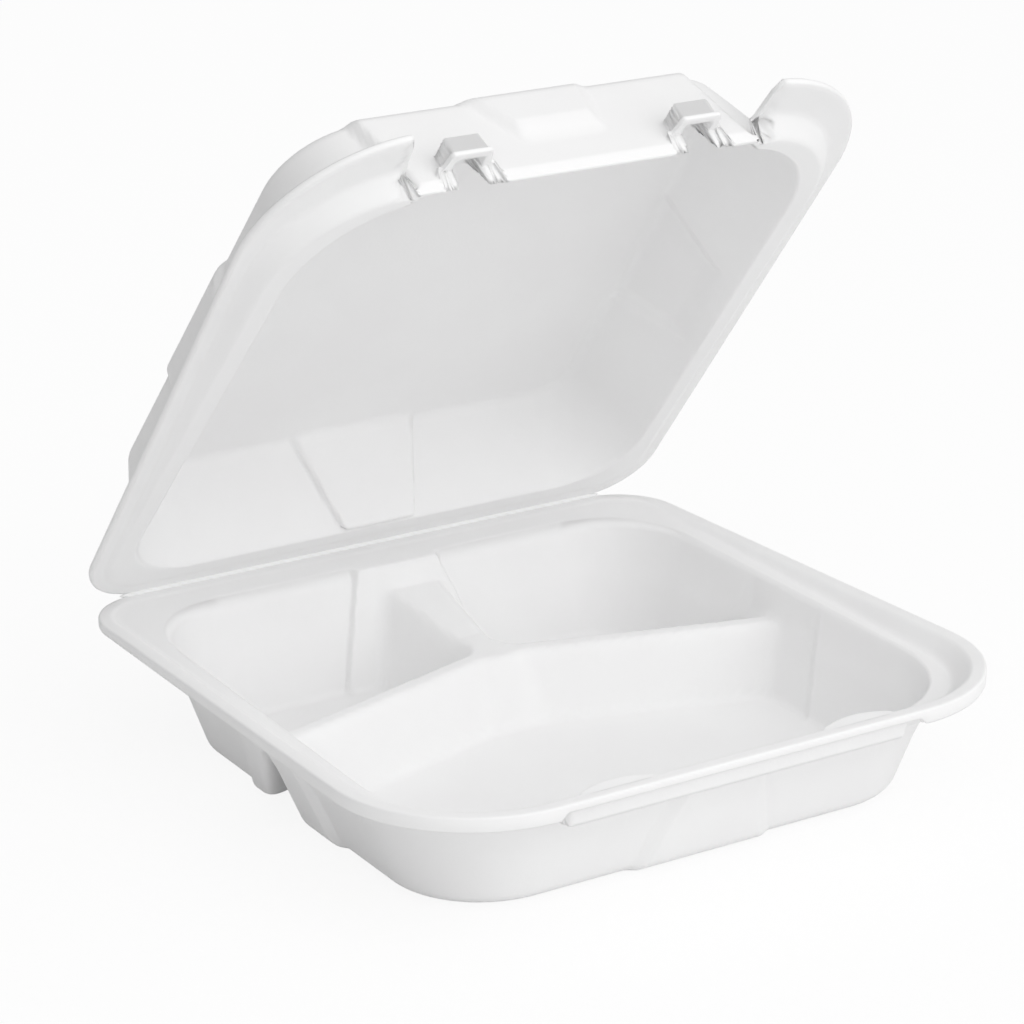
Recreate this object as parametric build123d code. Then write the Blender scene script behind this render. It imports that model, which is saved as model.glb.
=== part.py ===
from build123d import *
from math import cos, degrees, atan, radians, sin, tan
import os

# Hinged three-compartment food container of white polystyrene foam.
# Millimetres, +Z up, standing on its base; X runs along the hinge and the front is towards -Y.
# Both halves are drawn about the hinge crease's middle at y = 0 and moved at the end.

# Driving dimensions: sheet and rim
sheet = 2.6
rim_width = 237.0
rim_taper = 5.0
rim_depth = 227.0
rim_height = 42.0
rim_back_radius = 22.0
rim_front_radius = 49.0
lip_width = 5.0
skirt_height = 5.0
lip_end_spacing = 134.0

# Base: tray, shoulder and compartments
wall_draft = 20.0
tray_inset_back = 12.5
tray_inset_front = 13.5
tray_back_flange = 18.0
tray_floor_radius_back = 19.0
tray_floor_radius_front = 30.0
floor_edge_radius = 8.0
shoulder_fall = 7.0
shoulder_draft = 40.0
divider_height = 26.5
divider_crest = 7.0
divider_bevel = 1.6
divider_corner_radius = 9.0
divider_centre_x = 4.0
divider_centre_y = -76.0
divider_arm_x = 100.0
divider_arm_y = -104.0
divider_short_width = 30.0
divider_short_rise = 8.0

# Panels pressed into the walls of both halves
panel_relief = 2.4
panel_half_top = 14.0
panel_slant = 17.5
side_panel_y = -109.0

# Tongues behind the base's front bead
tongue_spacing = 90.0
tongue_length = 29.0
tongue_reach = 4.2
tongue_thickness = 2.2

# Lid
lid_height = 36.0
lid_taper = 6.0
lid_overhang = 9.0
lid_bulge = 3.0
lid_gap = 0.3
lid_back_flange = 12.0
lid_back_inset = 13.5
lid_side_inset = 3.0
lid_floor_radius_back = 14.0
lid_floor_radius_front = 24.0
plug_clearance = 0.4
lid_front_gap = 128.0
tab_spacing = 84.0
tab_width = 14.0
tab_reach = 6.0
tab_height = 9.0
tab_wall = 2.0
tab_slit = 1.4

# Hinge and pose
hinge_gap = 0.15
hinge_bead = 0.9
open_angle = 51.0
rest_y = -163.0

half_rim = rim_width / 2
rise = tan(radians(wall_draft))
wall_shift = sheet * (1 - sin(radians(wall_draft))) / cos(radians(wall_draft))
shoulder_angle = degrees(atan(shoulder_fall / rim_depth))
far = 400.0


def outline(half_back, half_front, back, front, radius_back, radius_front):
    """A rounded four-sided outline, symmetric about x = 0."""
    corners = [(-half_back, back), (-half_front, front), (half_front, front), (half_back, back)]
    radii = [radius_back, radius_front, radius_front, radius_back]
    return make_face(FilletPolyline(*corners, radius=radii, close=True))


def rim_outline(inset):
    """The outer edge of the base's rim, a little narrower at the hinge, moved inwards."""
    return outline(
        half_rim - rim_taper - inset, half_rim - inset, -hinge_gap - inset, -rim_depth + inset,
        rim_back_radius - inset, rim_front_radius - inset,
    )


def grown(face, amount):
    """A face with its outline moved outwards, corners kept round."""
    return offset(face, amount, kind=Kind.ARC if amount > 0 else Kind.INTERSECTION).face()


def sharp_corners(face):
    """The vertices where two edges of a face meet at an angle."""
    found = []
    for vertex in face.vertices():
        point = Vector(vertex.X, vertex.Y, vertex.Z)
        meeting = [edge for edge in face.edges() if edge.distance_to(point) < 1e-4]
        directions = [edge % (0 if (edge @ 0 - point).length < 1e-3 else 1) for edge in meeting]
        if directions[0].cross(directions[1]).length > 0.05:
            found.append(vertex)
    return found


def slab(face, low, high):
    return Pos(0, 0, low) * extrude(face, high - low)


def flare(face, low, high, draft):
    """A prism that widens as it rises from the low level."""
    return Pos(0, 0, low) * extrude(face, high - low, taper=-draft)


def pocket(face, low, high, radius):
    """A widening prism with the walls' draft and its lower edge rounded."""
    body = flare(face, low, high, wall_draft)
    return fillet(body.edges().group_by(Axis.Z)[0], radius)


def wedge(half_top, top, bottom, turn, near, reach):
    """A panel's region: a trapezoid that widens downwards, drawn outwards from the middle of a wall."""
    half_bottom = half_top + (top - bottom) * tan(radians(panel_slant))
    corners = [(-half_top, top), (half_top, top), (half_bottom, bottom), (-half_bottom, bottom)]
    face = Plane.XZ * make_face(Polyline(*corners, close=True))
    return Rot(0, 0, turn) * Pos(0, -near, 0) * extrude(face, reach)


def panelled(face, low, high, radius, regions_out, region_in, bulge=0):
    """A pocket with panels pressed outwards on three walls and one pressed inwards at the back."""
    body = pocket(face, low, high, radius)
    if bulge:
        middle_front = Pos(0, -rim_depth, 0) * Box(lid_front_gap - 2 * sheet, rim_depth, 3 * far)
        body += pocket(grown(face, bulge), low, high, radius) & middle_front
    side_reliefs = [bulge + panel_relief, panel_relief, panel_relief]
    narrow = pocket(grown(face, -panel_relief), low, high, radius)
    for region, relief in zip(regions_out, side_reliefs):
        body += pocket(grown(face, relief), low, high, radius) & region
    return body - (region_in - narrow)


def above_plane(level, fall_angle):
    """Everything above a plane that passes through the hinge line at a level and falls to the front."""
    block = Box(2 * far, 2 * far, far, align=(Align.CENTER, Align.CENTER, Align.MIN))
    return Pos(0, 0, level) * Rot(fall_angle, 0, 0) * block


# Base: the tray's floor outline, worked back from its top edge
floor_drop = rim_height - sheet
floor_inset = floor_drop * rise
tray_floor = outline(
    half_rim - rim_taper - tray_inset_back - floor_inset,
    half_rim - tray_inset_front - floor_inset,
    -tray_back_flange - floor_inset,
    -rim_depth + tray_inset_front + floor_inset,
    tray_floor_radius_back,
    tray_floor_radius_front,
)
tray_under = grown(tray_floor, wall_shift)
panel_top = rim_height - shoulder_fall + 2
front_wedge = wedge(panel_half_top, panel_top, -1, 0, 150, 100)
side_wedges = [
    Pos(0, side_panel_y, 0) * wedge(panel_half_top + 4, panel_top, -1, turn, 60, 80) for turn in (90, -90)
]
back_wedge = wedge(panel_half_top, rim_height + 1, -1, 180, 0, 60)
back_wedge = Pos(0, -60, 0) * back_wedge
outward = [front_wedge] + side_wedges
tray_void = panelled(tray_floor, sheet, rim_height, floor_edge_radius, outward, back_wedge)
tray_body = panelled(tray_under, 0, rim_height, floor_edge_radius + sheet, outward, back_wedge)

# Dividers: what is left between three pockets
foot = divider_crest / 2 + (divider_height - sheet) * rise
centre = Vector(divider_centre_x, divider_centre_y)


def strip(direction, half_near, half_far):
    """A strip from the dividers' meeting point outwards, its half width given at both ends."""
    unit = direction.normalized()
    side = Vector(-unit.Y, unit.X)
    end = centre + unit * 160
    points = [centre + side * half_near, end + side * half_far, end - side * half_far, centre - side * half_near]
    return make_face(Polyline(*[(point.X, point.Y) for point in points], close=True))


arms = strip(Vector(-divider_arm_x, divider_arm_y) - centre, foot, foot)
arms += strip(Vector(divider_arm_x, divider_arm_y) - centre, foot, foot)
arms += strip(Vector(0, 1), foot, foot + divider_short_width)
arms += Pos(centre.X, centre.Y) * Circle(foot)
compartments = []
for face in (grown(tray_floor, panel_relief) - arms).faces():
    compartments.append(face.fillet_2d(divider_corner_radius, sharp_corners(face)))

inside = None
covers = []
shell = tray_body & slab(rim_outline(0), divider_height - sheet, rim_height)
for face in compartments:
    hollow = pocket(face, sheet, rim_height, floor_edge_radius) & tray_void
    cover = pocket(grown(face, wall_shift), 0, rim_height, floor_edge_radius + sheet) & tray_body
    shell += cover
    covers.append(cover)
    inside = hollow if inside is None else inside + hollow
bevel_low = divider_height - divider_bevel
for face in compartments:
    level_face = grown(face, (bevel_low - sheet) * rise)
    inside += flare(level_face, bevel_low, divider_height + 0.01, 45) & tray_void
ramp_start = divider_centre_y + 14
ramp_length = -ramp_start - tray_back_flange
ramp_angle = degrees(atan(divider_short_rise / ramp_length))
ramp_region = Pos(divider_centre_x, 0, divider_height - sheet) * Box(
    52, -2 * ramp_start, rim_height, align=(Align.CENTER, Align.CENTER, Align.MIN)
)
ramp_block = Pos(0, ramp_start, divider_height) * Rot(ramp_angle, 0, 0) * Box(
    far, far, far, align=(Align.CENTER, Align.CENTER, Align.MAX)
)
shell += tray_body & ramp_region & ramp_block
inside += (tray_void & slab(rim_outline(0), divider_height, rim_height)) - (ramp_region & ramp_block)

# Rim: a level lip all round, and a shoulder that falls away to the front
shoulder_low = rim_height - shoulder_fall - 4
shoulder_run = (rim_height - shoulder_low) * tan(radians(shoulder_draft))
step_face = grown(rim_outline(lip_width), -shoulder_run)
step_void = flare(step_face, shoulder_low, rim_height, shoulder_draft) & above_plane(rim_height, shoulder_angle)
step_body = flare(grown(step_face, sheet), shoulder_low, rim_height, shoulder_draft)
step_body &= above_plane(rim_height - sheet, shoulder_angle)
lip = slab(rim_outline(0), rim_height - sheet, rim_height)
skirt = slab(rim_outline(0), rim_height - skirt_height, rim_height) - slab(rim_outline(sheet), 0, rim_height)
bead_wall = Pos(0, -rim_depth, rim_height) * Box(
    lip_end_spacing - 2, 16, 2 * (shoulder_fall + sheet)
) & slab(rim_outline(0.8), 0, rim_height) & above_plane(rim_height - sheet, shoulder_angle)
bead_drop = Pos(0, -rim_depth + lip_width, rim_height) * Box(
    lip_end_spacing - 2 - 2 * sheet, 10, 3 * shoulder_fall, align=(Align.CENTER, Align.MIN, Align.CENTER)
) & above_plane(rim_height, shoulder_angle)
front_gap = Pos(0, -rim_depth, rim_height - sheet) * Box(
    lip_end_spacing, 2 * sheet + 1, skirt_height, align=(Align.CENTER, Align.CENTER, Align.MAX)
)
skirt -= front_gap
back_gap = Box(rim_width - 2 * rim_back_radius, 2 * sheet + 1, 2 * rim_height)
skirt -= back_gap
base = shell + step_body + lip + skirt + bead_wall - inside - step_void - bead_drop
ramp_hollow = Pos(0, 0, -1.1 * sheet) * ramp_block & ramp_region & tray_void
for cover in covers:
    ramp_hollow -= cover
base -= ramp_hollow

# Tongues: thin lens-shaped ledges behind the front bead
for side in (-1, 1):
    arc = ThreePointArc(
        (-tongue_length / 2, 0), (0, tongue_reach), (tongue_length / 2, 0)
    )
    lens = make_face(Curve() + [arc, Line(arc @ 1, (tongue_length / 2, -sheet)),
                                Line((tongue_length / 2, -sheet), (-tongue_length / 2, -sheet)),
                                Line((-tongue_length / 2, -sheet), arc @ 0)])
    lens = Pos(side * tongue_spacing / 2, -rim_depth + lip_width, 0) * lens
    base += slab(lens, rim_height - tongue_thickness, rim_height)

# Hinge crease: a thin bead along the base's back edge, which the lid's edge is coved round
crease_length = rim_width - 2 * rim_back_radius
crease_level = rim_height + lid_gap / 2
base += Pos(0, 0, crease_level) * Rot(0, 90, 0) * Cylinder(hinge_bead, crease_length)
cove = Pos(0, 0, crease_level) * Rot(0, 90, 0) * Cylinder(hinge_bead + hinge_gap, crease_length + 1)

# Lid, drawn closed: its tray is built crown down and turned over
plug_run = shoulder_fall * tan(radians(shoulder_draft))
lid_inset_front = lip_width + plug_clearance + plug_run + shoulder_fall * rise + 1.1 * sheet
crown_inset = (lid_height - sheet) * rise
crown_inner = outline(
    half_rim - rim_taper - lid_back_inset - crown_inset,
    half_rim - lid_taper - lid_inset_front - lid_side_inset - crown_inset,
    -lid_back_flange - crown_inset,
    -rim_depth + lid_inset_front + crown_inset,
    lid_floor_radius_back,
    lid_floor_radius_front,
)
crown_outer = grown(crown_inner, wall_shift)
lid_rise = lid_height + shoulder_fall + 2
lid_front_wedge = wedge(panel_half_top, lid_height - 2, -1, 0, 150, 100)
lid_side_wedges = [
    Pos(0, side_panel_y, 0) * wedge(panel_half_top + 4, lid_height - 2, -1, turn, 60, 80) for turn in (90, -90)
]
lid_back_wedge = Pos(0, -60, 0) * wedge(panel_half_top, lid_height - 2, -1, 180, 0, 60)
lid_outward = [lid_front_wedge] + lid_side_wedges
lid_inside = panelled(
    crown_inner, sheet, lid_rise, floor_edge_radius, lid_outward, lid_back_wedge, lid_bulge
)
lid_shell = panelled(
    crown_outer, 0, lid_rise, floor_edge_radius + sheet, lid_outward, lid_back_wedge, lid_bulge
)
lid_inside = Pos(0, 0, rim_height + lid_height) * mirror(lid_inside, about=Plane.XY)
lid_shell = Pos(0, 0, rim_height + lid_height) * mirror(lid_shell, about=Plane.XY)


def lid_outline(inset, overhang=0):
    """The outer edge of the lid's rim, narrower at the front than the base's, moved inwards."""
    return outline(
        half_rim - rim_taper - inset, half_rim - lid_taper - inset,
        -hinge_gap - inset, -rim_depth - overhang + inset,
        rim_back_radius - inset, rim_front_radius - inset,
    )


flange_low = rim_height + lid_gap
plug_low = rim_height - shoulder_fall - 4
plug_spread = (flange_low + sheet - plug_low) * tan(radians(shoulder_draft))
plug_face = grown(lid_outline(lip_width + plug_clearance), -plug_spread)
plug = flare(plug_face, plug_low, flange_low + sheet, shoulder_draft)
groove = flare(grown(plug_face, -1.3 * sheet), plug_low, flange_low + sheet + 0.01, shoulder_draft)
groove &= above_plane(flange_low + sheet, shoulder_angle)
flange = slab(lid_outline(0, lid_overhang), flange_low, flange_low + sheet) + plug - groove
middle = Pos(0, -rim_depth, rim_height) * Box(lid_front_gap, 80, 4 * shoulder_fall)
flange -= middle
lid = flange + lid_shell

# Lock tabs: hollow blocks that stand out from the lid's front wall
tab_base = flange_low + 1
wall_front = -rim_depth + lid_inset_front - lid_bulge - 1.1 * sheet
tab_front = wall_front + (tab_base + tab_height - rim_height) * rise - tab_reach
slits = None
for side in (-1, 1):
    block = Pos(side * tab_spacing / 2, tab_front, tab_base) * Box(
        tab_width, tab_reach + 2 * sheet, tab_height, align=(Align.CENTER, Align.MIN, Align.MIN)
    )
    hollow = Pos(side * tab_spacing / 2, tab_front + tab_wall, tab_base + tab_wall) * Box(
        tab_width - 2 * tab_wall, tab_reach + 5 * sheet, tab_height - 2 * tab_wall,
        align=(Align.CENTER, Align.MIN, Align.MIN),
    )
    slit = Pos(side * tab_spacing / 2 - tab_width / 2 - tab_slit / 2, tab_front, tab_base + tab_wall) * Box(
        tab_slit, tab_reach + 5 * sheet, tab_height - 2 * tab_wall,
        align=(Align.CENTER, Align.MIN, Align.MIN),
    )
    lid += block
    cut = hollow + slit
    slits = cut if slits is None else slits + cut
lid = lid - lid_inside - slits - cove
lid &= above_plane(flange_low, shoulder_angle)
lid = Pos(0, 0, crease_level) * Rot(-open_angle, 0, 0) * Pos(0, 0, -crease_level) * lid

os.makedirs("parts", exist_ok=True)
for name, part in (("base", base), ("lid", lid)):
    export_step(Pos(0, -rest_y, 0) * part.solid(), f"parts/{name}.step")
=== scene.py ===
import math
import bpy
import numpy as np
from mathutils import Matrix, Vector


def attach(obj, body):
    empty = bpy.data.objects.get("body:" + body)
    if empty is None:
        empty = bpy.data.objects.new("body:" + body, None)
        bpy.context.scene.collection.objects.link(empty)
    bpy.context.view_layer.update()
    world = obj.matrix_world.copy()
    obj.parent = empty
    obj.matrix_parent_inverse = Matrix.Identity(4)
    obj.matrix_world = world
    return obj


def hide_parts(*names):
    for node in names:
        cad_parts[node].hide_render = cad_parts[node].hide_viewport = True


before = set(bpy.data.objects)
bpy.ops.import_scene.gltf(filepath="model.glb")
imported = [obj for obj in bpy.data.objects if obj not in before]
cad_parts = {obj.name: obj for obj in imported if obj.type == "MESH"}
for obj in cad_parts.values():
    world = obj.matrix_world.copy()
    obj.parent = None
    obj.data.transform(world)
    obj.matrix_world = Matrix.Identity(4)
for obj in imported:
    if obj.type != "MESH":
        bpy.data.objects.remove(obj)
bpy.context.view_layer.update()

# Sizes in millimetres, about the middle of the hinge crease, with the lid drawn closed.
# They repeat the solids' own sizes, so that the foam skins lie on the solids.
SHEET = 2.6
RIM_HALF_BACK, RIM_HALF_FRONT = 113.5, 118.5
RIM_DEPTH, RIM_HEIGHT = 227.0, 42.0
RIM_RADIUS_BACK, RIM_RADIUS_FRONT = 22.0, 49.0
LIP_WIDTH = 5.0
WALL_DRAFT = math.radians(20.0)
STEP_DROP = 1.19
LEDGE_FALL = 7.0
DIVIDER_HEIGHT, DIVIDER_RISE = 26.5, 8.0
DIVIDER_X, DIVIDER_Y = 4.0, -76.0
LID_HEIGHT, LID_HALF_FRONT, LID_OVERHANG = 36.0, 112.5, 9.0
LID_GAP, LID_BULGE = 0.3, 3.0
TAB_X, TAB_HALF, TAB_FRONT = 42.0, 7.4, -223.0
TONGUE_X, TONGUE_HALF, TONGUE_REACH = 45.0, 14.5, 4.2
NOTCH_HALF, NOTCH_BACK, FOLD = 65.4, -216.9, -213.5
MIDDLE_HALF = 63.0
BEAD_RADIUS = 1.15
PANEL_RELIEF, PANEL_EASE, SIDE_PANEL_Y = 2.4, 1.8, 109.0
END_PANEL_HALF, SIDE_PANEL_HALF = 14.0, 18.0
FOOT = 3.5
PANEL_SLANT = math.tan(math.radians(17.5))
OPEN_ANGLE = math.radians(51.0)
REST_Y = 163.0
FLARE = math.tan(WALL_DRAFT)


# Plan outlines: half width at the back and front, back and front y, back and front corner radius

def outline(*numbers):
    """The six numbers of a rounded outline as an array, so that whole outlines can be added."""
    return np.array(numbers, dtype=float)


# One millimetre inwards on every side, with the corners' radii made one smaller
INWARDS = np.array([1, 1, 1, -1, 1, 1])


def inward(x, y, shape):
    """Distance inwards from a rounded outline whose sides taper: minus the rounded box's signed distance."""
    half_back, half_front, back, front, radius_back, radius_front = shape
    along = np.clip((back - y) / (back - front), -0.2, 1.2)
    half = 0.5 * (half_back + half_front)
    across = np.abs(x) * half / (half_back + (half_front - half_back) * along)
    middle, reach = 0.5 * (back + front), 0.5 * (back - front)
    radius = np.where(y > middle, radius_back, radius_front)
    qx = across - (half - radius)
    qy = np.abs(y - middle) - (reach - radius)
    outside = np.hypot(np.maximum(qx, 0), np.maximum(qy, 0))
    return -(outside + np.minimum(np.maximum(qx, qy), 0) - radius)


def soft_min(a, b, k):
    """The lower of two heights, with the crease between them rounded over a height of k."""
    h = np.clip(0.5 + 0.5 * (b - a) / k, 0, 1)
    return b + (a - b) * h - k * h * (1 - h)


def soft_max(a, b, k):
    """The higher of two heights, rounded the same way."""
    return -soft_min(-a, -b, k)


def ease(t):
    """A smooth step from 0 to 1 as t goes from -1 to 1."""
    t = np.clip(0.5 + 0.5 * t, 0, 1)
    return t * t * (3 - 2 * t)


def wall_rise(s, radius):
    """Height above a floor at s inside its edge: flat, then an arc of the radius, then the drafted wall."""
    reach = radius * math.tan((math.pi / 2 - WALL_DRAFT) / 2)
    start = reach
    end_s = -reach * math.sin(WALL_DRAFT)
    drop = np.clip(start - s, 0, start - end_s)
    arc = radius - np.sqrt(np.maximum(radius ** 2 - drop ** 2, 0))
    return np.where(s > end_s, arc, -s / FLARE)


def panel(across, z, top, half_top):
    """1 inside a panel that widens downwards, 0 outside it, with its edges eased over twice PANEL_EASE."""
    half = half_top + (top - z) * PANEL_SLANT
    return ease((half - np.abs(across)) / PANEL_EASE) * ease((top - z) / PANEL_EASE)


rim = outline(RIM_HALF_BACK, RIM_HALF_FRONT, -0.15, -RIM_DEPTH, RIM_RADIUS_BACK, RIM_RADIUS_FRONT)
tray_inset = (RIM_HEIGHT - SHEET) * FLARE
tray_floor = outline(
    RIM_HALF_BACK - 12.5 - tray_inset, RIM_HALF_FRONT - 13.5 - tray_inset,
    -18.0 - tray_inset, -RIM_DEPTH + 13.5 + tray_inset, 19.0, 30.0,
)
crown_inset = (LID_HEIGHT - SHEET) * FLARE
lid_front_inset = 5.4 + LEDGE_FALL * (0.839 + FLARE) + 1.1 * SHEET
lid_crown = outline(
    RIM_HALF_BACK - 13.5 - crown_inset, LID_HALF_FRONT - lid_front_inset - 3.0 - crown_inset,
    -12.0 - crown_inset, -RIM_DEPTH + lid_front_inset + crown_inset, 14.0, 24.0,
)
lid_rim = outline(
    RIM_HALF_BACK, LID_HALF_FRONT, -0.15, -RIM_DEPTH - LID_OVERHANG, RIM_RADIUS_BACK, RIM_RADIUS_FRONT,
)
lid_plug = outline(RIM_HALF_BACK, LID_HALF_FRONT, -0.15, -RIM_DEPTH, RIM_RADIUS_BACK, RIM_RADIUS_FRONT)


def from_segment(x, y, start, end):
    """Distance from a straight line in plan, and how far along it from 0 to 1."""
    dx, dy = end[0] - start[0], end[1] - start[1]
    t = np.clip(((x - start[0]) * dx + (y - start[1]) * dy) / (dx * dx + dy * dy), 0, 1)
    return np.hypot(x - start[0] - t * dx, y - start[1] - t * dy), t


def divider_side(x, y):
    """Distance in plan outside the dividers' foot: the nearest of three arms that meet in a Y."""
    foot = 3.5 + (DIVIDER_HEIGHT - SHEET) * FLARE
    left, _ = from_segment(x, y, (DIVIDER_X, DIVIDER_Y), (-156.0, -122.7))
    right, _ = from_segment(x, y, (DIVIDER_X, DIVIDER_Y), (164.0, -122.7))
    short, t = from_segment(x, y, (DIVIDER_X, DIVIDER_Y), (DIVIDER_X, 84.0))
    return soft_min(soft_min(left - foot, right - foot, 9.0), short - foot - 30.0 * t, 9.0)


def tray_height(x, y, depth):
    """The tray's height at (x, y): depth 0 is its upper skin, SHEET its underside, offset square to the skin.

    Walls rise from the floor at the draft, the dividers rise the same way and stop at their crest,
    the ledge falls away to the front, and the step climbs from it to the level lip."""
    shift = depth / math.cos(WALL_DRAFT) - depth * FLARE
    level = SHEET - depth
    s = inward(x, y, tray_floor)
    z = level + wall_rise(s + shift, FOOT + depth)
    top = RIM_HEIGHT - LEDGE_FALL + 2
    front = panel(x, z, top, END_PANEL_HALF) * (y < -150)
    sides = panel(y + SIDE_PANEL_Y, z, top, SIDE_PANEL_HALF) * (np.abs(x) > 70)
    back = panel(x, z, RIM_HEIGHT + 4, END_PANEL_HALF) * (y > -60)
    s = s + PANEL_RELIEF * (front + sides - back)
    wall = level + wall_rise(s + shift, FOOT + depth)
    around = soft_min(s, divider_side(x, y), 5.0)
    rising = level + wall_rise(around + shift, FOOT + depth)
    crest = DIVIDER_HEIGHT - depth
    crest = crest + DIVIDER_RISE * np.clip((y + 62.0) / 44.0, 0, 1) * ease((30.0 - np.abs(x - DIVIDER_X)) / 6.0)
    z = soft_min(rising, soft_max(wall, crest, 4.0), 5.0)
    ledge = RIM_HEIGHT - LEDGE_FALL * np.clip(-y / RIM_DEPTH, 0, 1) - depth
    middle = ease((MIDDLE_HALF - np.abs(x)) / 1.5) * (y < -150)
    slope = STEP_DROP + 5.0 * middle
    step = RIM_HEIGHT - (inward(x, y, rim) - LIP_WIDTH) * slope - depth * np.sqrt(1 + slope ** 2)
    brim = soft_min(soft_max(ledge, step, 1.6), RIM_HEIGHT - depth, 1.2)
    return soft_min(z, brim, 2.2)


def lid_height(x, y, lift):
    """The closed lid's height: lift 0 is the skin that faces the tray, SHEET its outer skin.

    The flange is level, the plug rim drops inside the tray's step, and the wall climbs to the crown."""
    level = RIM_HEIGHT + LID_GAP + lift
    ledge = level - LEDGE_FALL * np.clip(-y / RIM_DEPTH, 0, 1) + 0.1
    slope = STEP_DROP + 5.0 * ease((MIDDLE_HALF - np.abs(x)) / 1.5) * (y < -150)
    step = level - (inward(x, y, lid_plug) - LIP_WIDTH - 0.4) * slope
    step = step + lift * (np.sqrt(1 + slope ** 2) - 1)
    plug = soft_min(soft_max(step, ledge, 1.6), level, 1.2)
    shift = lift / math.cos(WALL_DRAFT) - lift * FLARE
    crown = RIM_HEIGHT + LID_HEIGHT - SHEET + lift
    s = inward(x, y, lid_crown)
    z = crown - wall_rise(s + shift, FOOT + lift)
    down = RIM_HEIGHT + LID_HEIGHT - z
    top = LID_HEIGHT - 3
    bulge = ease((62.0 - np.abs(x)) / 2.0) * (y < -150)
    front = panel(x, down, top, END_PANEL_HALF) * (y < -150)
    sides = panel(y + SIDE_PANEL_Y, down, top, SIDE_PANEL_HALF) * (np.abs(x) > 60)
    back = panel(x, down, top, END_PANEL_HALF) * (y > -60)
    s = s + PANEL_RELIEF * (front + sides - back) + LID_BULGE * bulge
    wall = crown - wall_rise(s + shift, FOOT + lift)
    z = soft_max(plug, wall, 1.6)
    # Lock hoods: two hollow steps on the front wall, open underneath.
    # The flange is raised in the same way at the ends of the notch.
    across = np.abs(np.abs(x) - TAB_X)
    corner = np.abs(np.abs(x) - NOTCH_HALF)
    mouth = np.maximum(ease((TAB_HALF + 3.4 - across) / 0.9), ease((3.2 - corner) / 1.2))
    mouth = mouth * ease((-215.2 - y) / 0.8)
    z = soft_max(z, RIM_HEIGHT + 1.3 + 0.6 * lift - 30 * (1 - mouth), 0.5)
    roof = ease((TAB_HALF - 2.2 + 0.75 * lift - across) / 0.9) * ease((y - TAB_FRONT - 2.4 + 0.75 * lift) / 0.9)
    return soft_max(z, RIM_HEIGHT + 7.0 + lift - 30 * (1 - roof * (y < -205)), 0.5)


# Meshes

def square_grid(count):
    """A grid on the square from -1 to 1: each point's ring (0 centre, 1 edge) and its place round the ring."""
    line = np.linspace(-1, 1, count)
    u, v = np.meshgrid(line, line)
    ring = np.maximum(np.abs(u), np.abs(v))
    safe = np.where(ring == 0, 1, ring)
    return ring, u / safe, v / safe


def along_outline(a, b, shape, share=0.2):
    """Points of rounded outlines at places (a, b) round the unit square.

    Each quarter side near a corner is spread over half the corner's arc, the rest over the straight."""
    half_back, half_front, back, front, radius_back, radius_front = shape
    middle, reach = 0.5 * (back + front), 0.5 * (back - front)
    half = 0.5 * (half_back + half_front)
    radius = np.where(b >= 0, radius_back, radius_front)
    on_side = np.abs(a) >= np.abs(b)
    c = np.where(on_side, np.abs(b), np.abs(a))
    arc = np.clip((c - (1 - share)) / share, 0, 1) * (math.pi / 4)
    straight = np.clip(c / (1 - share), 0, 1)
    main_half = np.where(on_side, half, reach)
    cross_half = np.where(on_side, reach, half)
    out = main_half - radius + radius * np.cos(arc)
    side = straight * (cross_half - radius) + radius * np.sin(arc)
    x = np.sign(a) * np.where(on_side, out, side)
    y = middle + np.sign(b) * np.where(on_side, side, out)
    tapered = half_back + (half_front - half_back) * np.clip((back - y) / np.maximum(back - front, 1e-6), 0, 1)
    return x * tapered / np.maximum(half, 1e-6), y


def ring_plan(ring, a, b, shapes, counts):
    """Plan positions of a square grid whose rings pass through the given outlines, counts rings between each."""
    stops = 1 - np.concatenate([[0], np.cumsum(counts)]) / np.sum(counts)
    numbers = [np.interp(ring, stops[::-1], [shape[i] for shape in shapes][::-1]) for i in range(6)]
    return along_outline(a, b, numbers)


def grid_faces(count, offset, flip):
    """Quads of a square grid of count by count points, as an array."""
    index = np.arange(count * count).reshape(count, count) + offset
    quads = np.stack([index[:-1, :-1], index[:-1, 1:], index[1:, 1:], index[1:, :-1]], axis=-1).reshape(-1, 4)
    return quads[:, ::-1] if flip else quads


def border(count):
    """Indices round the edge of a square grid, anticlockwise from above."""
    index = np.arange(count * count).reshape(count, count)
    return np.concatenate([index[0, :-1], index[:-1, -1], index[-1, :0:-1], index[:0:-1, 0]])


def band_faces(first, second):
    """Quads between two closed loops of indices."""
    return np.stack([first, second, np.roll(second, -1), np.roll(first, -1)], axis=-1)


def skin(height, plan_x, plan_y, thick, sign):
    """Points and unit normals of a height function over a plan, normals from its slopes."""
    x, y = plan_x.ravel(), plan_y.ravel()
    z = height(x, y, thick)
    step = 0.15
    slope_x = (height(x + step, y, thick) - height(x - step, y, thick)) / (2 * step)
    slope_y = (height(x, y + step, thick) - height(x, y - step, thick)) / (2 * step)
    normal = np.stack([-slope_x, -slope_y, np.ones_like(x)], axis=1) * sign
    normal /= np.linalg.norm(normal, axis=1, keepdims=True)
    return np.stack([x, y, z], axis=1), normal


def add_mesh(name, points, quads, normals, turn):
    """A mesh object from whole arrays, turned about the crease and moved into the model's frame."""
    points, normals = turn(points, normals)
    mesh = bpy.data.meshes.new(name)
    mesh.from_pydata(points / 1000.0, [], quads.tolist())
    mesh.shade_smooth()
    mesh.normals_split_custom_set_from_vertices(normals)
    mesh.update()
    piece = bpy.data.objects.new(name, mesh)
    bpy.context.collection.objects.link(piece)
    return piece


def keep_level(points, normals):
    """Leaves the tray level and only moves it back to where it rests."""
    return points + [0, REST_Y, 0], normals


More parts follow.
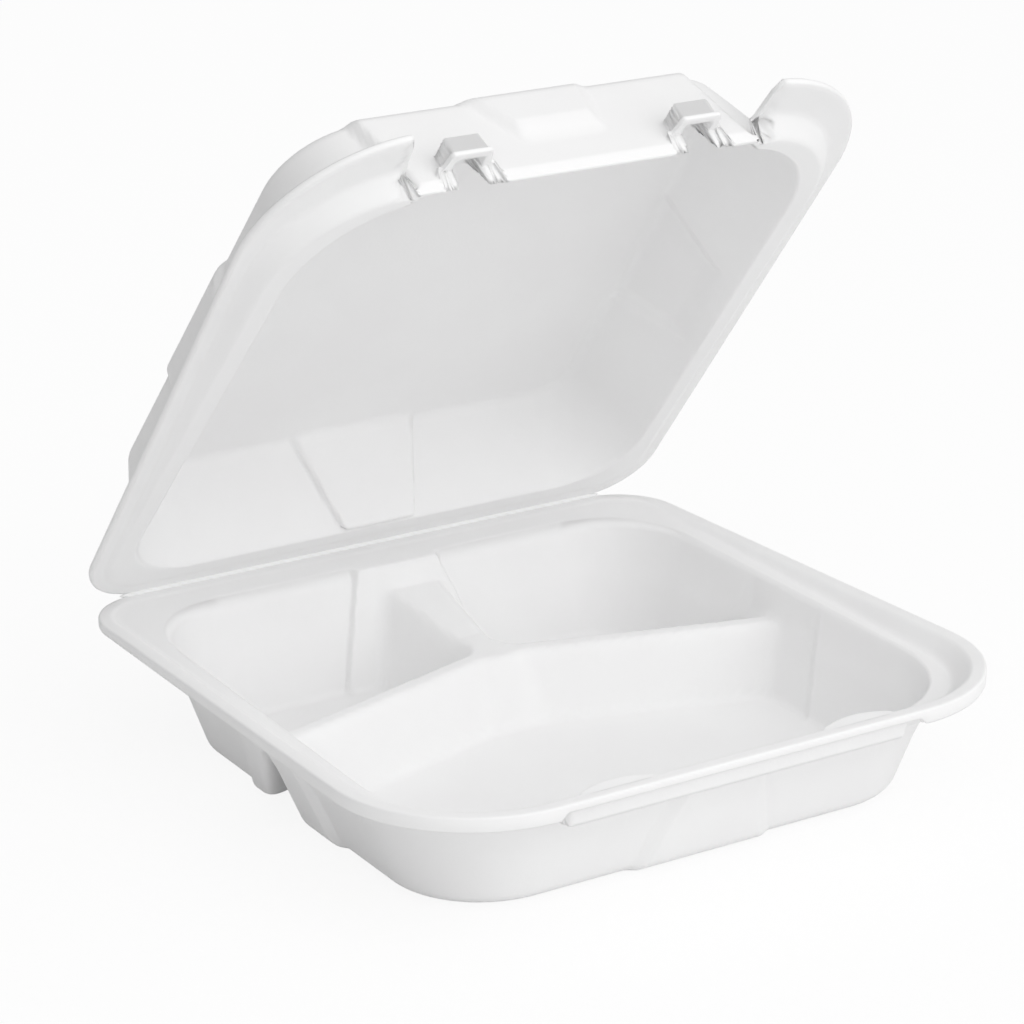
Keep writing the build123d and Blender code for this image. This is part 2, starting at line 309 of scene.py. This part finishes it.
def swing_open(points, normals):
    """Turns the closed lid back about the crease by the opening angle."""
    c, s = math.cos(OPEN_ANGLE), math.sin(OPEN_ANGLE)
    crease = np.array([0, 0, RIM_HEIGHT + LID_GAP / 2])
    turn = np.array([[1, 0, 0], [0, c, s], [0, -s, c]])
    return (points - crease) @ turn.T + crease + [0, REST_Y, 0], normals @ turn.T


COUNT = 207


def build_base():
    """The tray: upper skin and underside over one plan, joined by the lip's rolled edge and its skirt."""
    ring, a, b = square_grid(COUNT)
    lip = rim - INWARDS * LIP_WIDTH
    step = rim - [5.6, 11.0, 5.6, -11.0, 5.6, 11.0]
    top = tray_floor + INWARDS * (RIM_HEIGHT - 4 - SHEET) * FLARE
    inner = tray_floor - INWARDS * 6
    centre_y = 0.5 * (tray_floor[2] + tray_floor[3])
    centre = outline(0.01, 0.01, centre_y + 0.01, centre_y - 0.01, 0.005, 0.005)
    edge = rim - INWARDS * 0.6
    shapes = [edge, lip, step, top, tray_floor, inner, centre]
    x, y = ring_plan(ring, a, b, shapes, [6, 7, 6, 24, 8, 52])
    upper, upper_normals = skin(tray_height, x, y, 0.0, 1)
    edge_loop = border(COUNT)
    shapes = [rim - INWARDS * 2.4] + shapes[1:]
    x2, y2 = ring_plan(ring, a, b, shapes, [6, 7, 6, 24, 8, 52])
    lower, lower_normals = skin(tray_height, x2, y2, SHEET, -1)
    size = COUNT * COUNT
    loops, points, quads = [edge_loop], [upper, lower], []
    loop_a, loop_b = a.ravel()[edge_loop], b.ravel()[edge_loop]
    start = 2 * size
    plan = along_outline(loop_a, loop_b, rim)
    reach = skirt_depth(plan[0], plan[1])
    rows = [(0.17, 0.17), (0.0, 0.6), (0.0, None), (0.3, -0.35), (1.3, -0.5), (2.1, -0.3), (2.4, 0.0)]
    for inset, drop in rows:
        px, py = along_outline(loop_a, loop_b, rim - INWARDS * inset)
        if drop is None:
            pz = RIM_HEIGHT - reach + 0.5
        elif drop > 0.01:
            pz = RIM_HEIGHT - drop + 0 * px
        else:
            pz = RIM_HEIGHT - reach - drop - 0.5
        points.append(np.stack([px, py, pz], axis=1))
        loops.append(np.arange(start, start + len(px)))
        start += len(px)
    loops.append(edge_loop + size)
    for first, second in zip(loops[:-1], loops[1:]):
        quads.append(band_faces(first, second))
    faces = np.concatenate([grid_faces(COUNT, 0, False), grid_faces(COUNT, size, True)] + quads)
    normals = np.zeros((start, 3))
    normals[:size] = upper_normals
    normals[size:2 * size] = lower_normals
    normals[edge_loop] = 0
    normals[edge_loop + size] = 0
    return add_mesh("tray_skin", np.concatenate(points), faces, normals, keep_level)


def skirt_depth(x, y):
    """How far the lip's edge turns down: little at the hinge, most at the front corners, none at the front middle."""
    corner = ease((np.abs(x) - 67.0) / 1.5)
    forward = np.clip(-y / RIM_DEPTH, 0, 1)
    depth = 3.0 + 1.8 * forward
    return np.where(y < -150, 2.6 + (depth - 2.6) * corner, depth)


def notch_line(x, y):
    """Where the lid's front edge lies: cut back to the wall in the middle, less so at the hoods.

    Its y goes from the flange's edge to NOTCH_BACK, or to just before TAB_FRONT, by smooth steps in |x|."""
    edge = lid_rim[3]
    hood = ease((TAB_HALF + 0.3 - np.abs(np.abs(x) - TAB_X)) / 1.0)
    back = NOTCH_BACK * (1 - hood) + (TAB_FRONT - 0.4) * hood
    middle = ease((NOTCH_HALF - np.abs(x)) / 1.4) * (y < -150)
    return edge + (back - edge) * middle


def fold_back(x, y):
    """Squeezes the rows in front of FOLD evenly into the space between the notch's line and FOLD."""
    limit = notch_line(x, y)
    return np.where(y < FOLD, limit + (y - lid_rim[3]) * (FOLD - limit) / (FOLD - lid_rim[3]), y)


def gather_columns(x, y):
    """Draws the grid's columns near the front towards the sides of the hoods and of the notch.

    Each column moves by -pull * d * exp(-(d / width)^2), d being its distance from a side."""
    move = np.zeros_like(x)
    for place, width, pull in ((TAB_X - 7.7, 4.5, 0.6), (TAB_X + 7.7, 4.5, 0.6), (NOTCH_HALF, 3.2, 0.75)):
        away = np.abs(x) - place
        move -= pull * away * np.exp(-(away / width) ** 2)
    return x + np.sign(x) * move * ease((-206 - y) / 5)


def build_lid():
    """The lid: both skins over one plan, joined by the flange's rolled edge, with the front flange cut away."""
    ring, a, b = square_grid(COUNT)
    lip = lid_plug - INWARDS * 5.4
    step = lid_plug - INWARDS * [5.6, 11.3, 5.6, 11.3, 5.6, 11.3]
    low = lid_crown + INWARDS * [13, 15, 13, 15, 13, 15]
    inner = lid_crown - INWARDS * 6
    centre_y = 0.5 * (lid_crown[2] + lid_crown[3])
    centre = outline(0.01, 0.01, centre_y + 0.01, centre_y - 0.01, 0.005, 0.005)
    parts, normals = [], []
    for lift, sign in ((0.0, -1), (SHEET, 1)):
        edge = lid_rim - INWARDS * 0.6
        x, y = ring_plan(ring, a, b, [edge, lip, step, low, lid_crown, inner, centre], [7, 9, 6, 27, 10, 44])
        x = gather_columns(x, y)
        y = fold_back(x, y)
        part, normal = skin(lid_height, x, y, lift, sign)
        # a zero leaves the normal to the mesh, where the form is too steep for the height's slopes
        normal[(part[:, 1] < FOLD) & (np.abs(part[:, 0]) < 69)] = 0
        parts.append(part)
        normals.append(normal)
    size = COUNT * COUNT
    edge_loop = border(COUNT)
    low_loop, high_loop = parts[0][edge_loop], parts[1][edge_loop]
    px, py = along_outline(a.ravel()[edge_loop], b.ravel()[edge_loop], lid_rim)
    px = gather_columns(px, py)
    py = fold_back(px, py)
    loops, start = [edge_loop], 2 * size
    for part, inset in ((0.2, 0.12), (0.5, 0.0), (0.8, 0.12)):
        middle = low_loop * (1 - part) + high_loop * part
        middle[:, 0] = px - np.sign(px) * inset
        middle[:, 1] = py + inset * np.where(py < -115, 1, -1)
        parts.append(middle)
        loops.append(np.arange(start, start + len(px)))
        start += len(px)
    loops.append(edge_loop + size)
    quads = [band_faces(first, second)[:, ::-1] for first, second in zip(loops[:-1], loops[1:])]
    low, high = grid_faces(COUNT, 0, True), grid_faces(COUNT, size, False)
    faces = np.concatenate([low, high] + quads)
    all_normals = np.zeros((start, 3))
    all_normals[:size] = normals[0]
    all_normals[size:2 * size] = normals[1]
    all_normals[edge_loop] = 0
    all_normals[edge_loop + size] = 0
    return add_mesh("lid_skin", np.concatenate(parts), faces, all_normals, swing_open)


def grid_piece(name, x, y, z, turn):
    """A closed-up surface from grids of coordinates in millimetres, smooth, in the model's frame."""
    rows, columns = x.shape
    points = np.stack([x.ravel(), y.ravel(), z.ravel()], axis=1)
    points, _ = turn(points, np.zeros_like(points))
    index = np.arange(rows * columns).reshape(rows, columns)
    quads = np.stack([index[:-1, :-1], index[:-1, 1:], index[1:, 1:], index[1:, :-1]], axis=-1).reshape(-1, 4)
    mesh = bpy.data.meshes.new(name)
    mesh.from_pydata(points / 1000.0, [], quads.tolist())
    mesh.shade_smooth()
    piece = bpy.data.objects.new(name, mesh)
    bpy.context.collection.objects.link(piece)
    return piece


def build_crease():
    """The hinge's bead: a slim tube along the crease whose ends taper off."""
    t, turn = np.meshgrid(np.linspace(-1, 1, 90), np.linspace(0, 2 * math.pi, 17), indexing="ij")
    half = RIM_HALF_BACK - RIM_RADIUS_BACK + 6.0
    radius = BEAD_RADIUS * np.sqrt(np.clip(1 - np.abs(t) ** 40, 0, 1))
    x = t * half
    y = radius * np.cos(turn)
    z = RIM_HEIGHT + LID_GAP / 2 + radius * np.sin(turn)
    return grid_piece("hinge_crease", x, y, z, keep_level)


def build_tongue(side):
    """A lens-shaped ledge behind the front bead: flat above and below, with a rounded edge that lifts a little.

    It reaches back by TONGUE_REACH * (1 - t^2), t going from -1 to 1 along it, and its ends sink by t^12."""
    t, part = np.meshgrid(np.linspace(-1, 1, 60), np.linspace(0, 1, 25), indexing="ij")
    bow = TONGUE_REACH * (1 - t ** 2) + 0.05
    edge = np.minimum(1.0, bow * 0.45)
    turn = np.clip(part * 3 - 1, 0, 1) * math.pi
    out = np.clip(part * 3, 0, 1) * (part < 0.5) + np.clip(3 - part * 3, 0, 1) * (part >= 0.5)
    start = -RIM_DEPTH + LIP_WIDTH - 1.5
    x = side * TONGUE_X + t * TONGUE_HALF
    y = start + (bow + 1.5 - edge) * out + edge * np.sin(turn)
    z = RIM_HEIGHT - 1.0 + 1.1 * np.cos(turn) + 0.4 * bow / TONGUE_REACH * out - 1.2 * t ** 12
    return grid_piece("tongue_left" if side < 0 else "tongue_right", x, y, z, keep_level)


# Foam: one group gives the colour, the roughness and the height of its fine cells

def foam_group():
    """Clouds between two tones, a roughness that ripples, and the height of the cells with a slow wave."""
    group = bpy.data.node_groups.new("foam_surface", "ShaderNodeTree")
    face = group.interface
    for name, kind, value in (
        ("Tone", "NodeSocketColor", (0.86, 0.86, 0.85, 1)),
        ("Shade", "NodeSocketColor", (0.80, 0.80, 0.79, 1)),
        ("Cell Scale", "NodeSocketFloat", 900.0),
        ("Cell Depth", "NodeSocketFloat", 0.3),
    ):
        socket = face.new_socket(name=name, in_out="INPUT", socket_type=kind)
        socket.default_value = value
    for name, kind in (
        ("Colour", "NodeSocketColor"), ("Roughness", "NodeSocketFloat"), ("Height", "NodeSocketFloat"),
    ):
        face.new_socket(name=name, in_out="OUTPUT", socket_type=kind)
    nodes, links = group.nodes, group.links
    inp, out = nodes.new("NodeGroupInput"), nodes.new("NodeGroupOutput")
    place = nodes.new("ShaderNodeTexCoord")
    cells = nodes.new("ShaderNodeTexVoronoi")
    cells.feature = "F1"
    links.new(place.outputs["Object"], cells.inputs["Vector"])
    links.new(inp.outputs["Cell Scale"], cells.inputs["Scale"])
    cloud = nodes.new("ShaderNodeTexNoise")
    cloud.inputs["Scale"].default_value = 22.0
    cloud.inputs["Detail"].default_value = 3.0
    links.new(place.outputs["Object"], cloud.inputs["Vector"])
    ripple = nodes.new("ShaderNodeTexNoise")
    ripple.inputs["Scale"].default_value = 160.0
    ripple.inputs["Detail"].default_value = 2.0
    links.new(place.outputs["Object"], ripple.inputs["Vector"])
    spread = nodes.new("ShaderNodeMapRange")
    spread.inputs["From Min"].default_value = 0.35
    spread.inputs["From Max"].default_value = 0.65
    links.new(cloud.outputs["Fac"], spread.inputs["Value"])
    mix = nodes.new("ShaderNodeMix")
    mix.data_type = "RGBA"
    links.new(spread.outputs["Result"], mix.inputs["Factor"])
    links.new(inp.outputs["Tone"], mix.inputs[6])
    links.new(inp.outputs["Shade"], mix.inputs[7])
    links.new(mix.outputs[2], out.inputs["Colour"])
    rough = nodes.new("ShaderNodeMapRange")
    rough.inputs["To Min"].default_value = 0.46
    rough.inputs["To Max"].default_value = 0.62
    links.new(ripple.outputs["Fac"], rough.inputs["Value"])
    links.new(rough.outputs["Result"], out.inputs["Roughness"])
    depth = nodes.new("ShaderNodeMath")
    depth.operation = "MULTIPLY"
    links.new(cells.outputs["Distance"], depth.inputs[0])
    links.new(inp.outputs["Cell Depth"], depth.inputs[1])
    wave = nodes.new("ShaderNodeMath")
    wave.operation = "MULTIPLY_ADD"
    wave.inputs[1].default_value = 0.35
    links.new(ripple.outputs["Fac"], wave.inputs[0])
    links.new(depth.outputs[0], wave.inputs[2])
    links.new(wave.outputs[0], out.inputs["Height"])
    return group


def foam_material(name, tone, shade, bump):
    """Foam with its own two tones and strength of bump, slightly glossy with a faint sheen."""
    material = bpy.data.materials.new(name)
    material.use_nodes = True
    nodes, links = material.node_tree.nodes, material.node_tree.links
    shader = nodes["Principled BSDF"]
    surface = nodes.new("ShaderNodeGroup")
    surface.node_tree = FOAM
    surface.inputs["Tone"].default_value = tone
    surface.inputs["Shade"].default_value = shade
    lift = nodes.new("ShaderNodeBump")
    lift.inputs["Strength"].default_value = bump
    lift.inputs["Distance"].default_value = 0.0003
    links.new(surface.outputs["Height"], lift.inputs["Height"])
    links.new(lift.outputs["Normal"], shader.inputs["Normal"])
    links.new(surface.outputs["Colour"], shader.inputs["Base Color"])
    links.new(surface.outputs["Roughness"], shader.inputs["Roughness"])
    shader.inputs["Specular IOR Level"].default_value = 0.35
    shader.inputs["Sheen Weight"].default_value = 0.15
    return material


FOAM = foam_group()
tray_foam = foam_material("tray_foam", (0.93, 0.93, 0.93, 1), (0.915, 0.912, 0.914, 1), 0.2)
lid_foam = foam_material("lid_foam", (0.93, 0.93, 0.93, 1), (0.915, 0.912, 0.914, 1), 0.2)

tray = build_base()
tray.data.materials.append(tray_foam)
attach(tray, "base")
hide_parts("base")

for piece in (build_crease(), build_tongue(-1), build_tongue(1)):
    piece.data.materials.append(tray_foam)
    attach(piece, "base")

lid = build_lid()
lid.data.materials.append(lid_foam)
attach(lid, "lid")
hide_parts("lid")

# Camera at the photograph's angle
CAMERA_MM = (-603.8, -1038.1, 473.1)
YAW, PITCH, ROLL, FOCAL_PX = 32.60, 19.27, -0.23, 3629.0
camera_data = bpy.data.cameras.new("camera")
camera_data.sensor_width = 36.0
camera_data.lens = FOCAL_PX / 1024 * 36.0
camera_data.clip_start = 0.05
camera = bpy.data.objects.new("camera", camera_data)
bpy.context.collection.objects.link(camera)
yaw, pitch, roll = math.radians(YAW), math.radians(PITCH), math.radians(ROLL)
forward = Vector((math.sin(yaw) * math.cos(pitch), math.cos(yaw) * math.cos(pitch), -math.sin(pitch)))
right = Vector((math.cos(yaw), -math.sin(yaw), 0.0))
up = right.cross(forward)
turned_right = right * math.cos(roll) + up * math.sin(roll)
turned_up = up * math.cos(roll) - right * math.sin(roll)
axes = Matrix((turned_right, turned_up, -forward)).transposed().to_4x4()
place = Vector(CAMERA_MM) / 1000 + Vector((0, REST_Y / 1000, 0))
camera.matrix_world = Matrix.Translation(place) @ axes
bpy.context.scene.camera = camera

# Light
FLOOR_SHADE, FLOOR_GLOW, FLOOR_LIFT, BACKDROP = 0.12, 0.88, 0.06, 0.965
SKY_DIM, SKY_BRIGHT, BRIGHT_SIDE = 0.10, 1.30, (0.14, -0.78, 0.60)


def area_light(name, place_m, target, size, power):
    """A white rectangular lamp at a place in metres, turned to face its target."""
    data = bpy.data.lights.new(name, "AREA")
    data.shape = "RECTANGLE"
    data.size, data.size_y = size
    data.energy = power
    lamp = bpy.data.objects.new(name, data)
    lamp.location = place_m
    lamp.rotation_euler = (Vector(target) - Vector(place_m)).to_track_quat("-Z", "Y").to_euler()
    bpy.context.collection.objects.link(lamp)
    return lamp


area_light("overhead", (0.1, 0.0, 1.4), (0, 0.05, 0), (1.4, 1.4), 1.5)
area_light("front_right", (0.8, -1.3, 1.1), (0, 0.05, 0.08), (1.4, 1.2), 2.5)

# Floor: plain white that bounces light; to the camera mostly its own glow, so only the contact shadow shows
floor_mesh = bpy.data.meshes.new("floor")
reach = 6.0
floor_mesh.from_pydata(
    [(-reach, -reach, -0.0002), (reach, -reach, -0.0002), (reach, reach, -0.0002), (-reach, reach, -0.0002)],
    [], [(0, 1, 2, 3)],
)
floor = bpy.data.objects.new("floor", floor_mesh)
bpy.context.collection.objects.link(floor)
floor_material = bpy.data.materials.new("floor_white")
floor_material.use_nodes = True
nodes, links = floor_material.node_tree.nodes, floor_material.node_tree.links
bounce = nodes["Principled BSDF"]
bounce.inputs["Base Color"].default_value = (0.85, 0.85, 0.85, 1)
bounce.inputs["Roughness"].default_value = 1.0
bounce.inputs["Specular IOR Level"].default_value = 0.0
paper = nodes.new("ShaderNodeBsdfDiffuse")
paper.inputs["Color"].default_value = (FLOOR_SHADE, FLOOR_SHADE, FLOOR_SHADE, 1)
glow = nodes.new("ShaderNodeEmission")
glow.inputs["Strength"].default_value = FLOOR_GLOW
shown = nodes.new("ShaderNodeAddShader")
choice = nodes.new("ShaderNodeMixShader")
path = nodes.new("ShaderNodeLightPath")
links.new(paper.outputs[0], shown.inputs[0])
links.new(glow.outputs[0], shown.inputs[1])
links.new(path.outputs["Is Camera Ray"], choice.inputs[0])
lift = nodes.new("ShaderNodeEmission")
lift.inputs["Strength"].default_value = FLOOR_LIFT
lit = nodes.new("ShaderNodeAddShader")
links.new(bounce.outputs[0], lit.inputs[0])
links.new(lift.outputs[0], lit.inputs[1])
links.new(lit.outputs[0], choice.inputs[1])
links.new(shown.outputs[0], choice.inputs[2])
links.new(choice.outputs[0], nodes["Material Output"].inputs["Surface"])
floor_mesh.materials.append(floor_material)

# Surroundings: bright towards the front right and above, dim on the left; plain white to the camera
world = bpy.data.worlds.new("studio")
bpy.context.scene.world = world
world.use_nodes = True
nodes, links = world.node_tree.nodes, world.node_tree.links
background = nodes["Background"]
direction = nodes.new("ShaderNodeTexCoord")
facing = nodes.new("ShaderNodeVectorMath")
facing.operation = "DOT_PRODUCT"
facing.inputs[1].default_value = BRIGHT_SIDE
spread = nodes.new("ShaderNodeMapRange")
spread.inputs["From Min"].default_value = -0.3
spread.inputs["From Max"].default_value = 1.0
spread.inputs["To Min"].default_value = SKY_DIM
spread.inputs["To Max"].default_value = SKY_BRIGHT
path = nodes.new("ShaderNodeLightPath")
choice = nodes.new("ShaderNodeMix")
choice.data_type = "FLOAT"
choice.inputs[3].default_value = BACKDROP
links.new(direction.outputs["Generated"], facing.inputs[0])
links.new(facing.outputs["Value"], spread.inputs["Value"])
links.new(path.outputs["Is Camera Ray"], choice.inputs[0])
links.new(spread.outputs["Result"], choice.inputs[2])
links.new(choice.outputs[0], background.inputs["Strength"])
background.inputs["Color"].default_value = (1, 1, 1, 1)
bpy.context.scene.view_settings.view_transform = "Standard"
